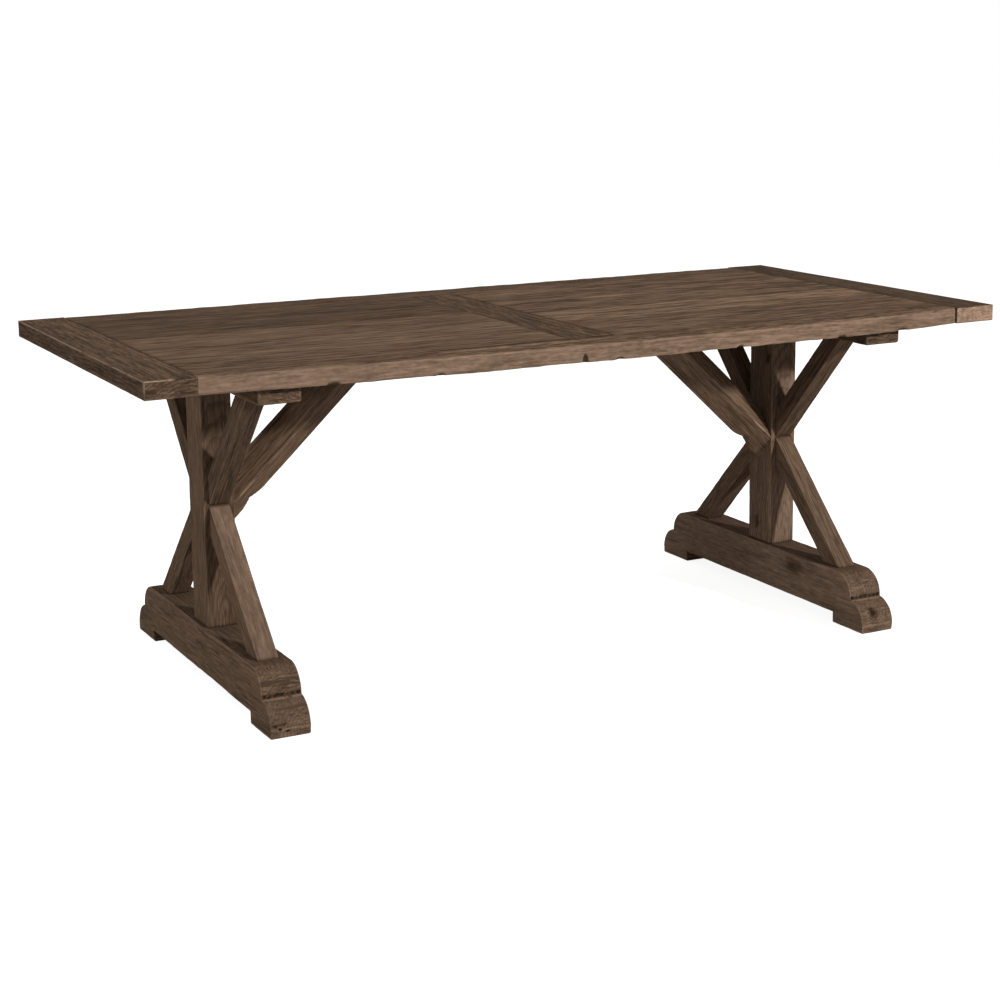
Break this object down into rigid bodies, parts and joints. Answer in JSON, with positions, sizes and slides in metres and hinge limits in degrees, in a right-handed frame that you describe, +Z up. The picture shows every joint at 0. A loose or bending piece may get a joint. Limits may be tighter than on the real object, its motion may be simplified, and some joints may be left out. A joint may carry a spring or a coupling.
{
  "type": "sawbuck table",
  "caption": "Long rustic trestle dining table: planked top with breadboard ends and a cross board, on X-shaped sawbuck trestles with posts, scroll-ended feet and sloping braces.",
  "frame": {"origin": "on the floor, under the middle of the top", "axes": "+X along the length towards the right in the picture, +Y across the depth towards the back, +Z up"},
  "size_m": [2.1, 0.975, 0.78],
  "materials": {
    "planks": "weathered matt, brushed grain",
    "frame_boards": "weathered matt, worn arrises",
    "trestle_wood": "weathered matt, rough-sawn",
    "joinery_wood": "bare, unfinished",
    "bolt_steel": "dark oiled"
  },
  "bodies": {
    "root": {"breadboard_left": "frame_boards", "breadboard_right": "frame_boards", "edge_board_front": "frame_boards", "edge_board_back": "frame_boards", "cross_board": "frame_boards", "plank_left_1": "planks", "plank_left_2": "planks", "plank_left_3": "planks", "plank_left_4": "planks", "plank_left_5": "planks", "plank_right_1": "planks", "plank_right_2": "planks", "plank_right_3": "planks", "plank_right_4": "planks", "plank_right_5": "planks", "breadboard_pegs": "joinery_wood", "post_left": "trestle_wood", "foot_left": "trestle_wood", "bearer_left": "trestle_wood", "upper_arm_front_left": "trestle_wood", "upper_arm_back_left": "trestle_wood", "lower_arm_front_left": "trestle_wood", "lower_arm_back_left": "trestle_wood", "brace_left": "trestle_wood", "arm_tenons_left": "joinery_wood", "brace_tenons_left": "joinery_wood", "bearer_bolts_left": "bolt_steel", "post_right": "trestle_wood", "foot_right": "trestle_wood", "bearer_right": "trestle_wood", "upper_arm_front_right": "trestle_wood", "upper_arm_back_right": "trestle_wood", "lower_arm_front_right": "trestle_wood", "lower_arm_back_right": "trestle_wood", "brace_right": "trestle_wood", "arm_tenons_right": "joinery_wood", "brace_tenons_right": "joinery_wood", "bearer_bolts_right": "bolt_steel"}
  },
  "joints": []
}
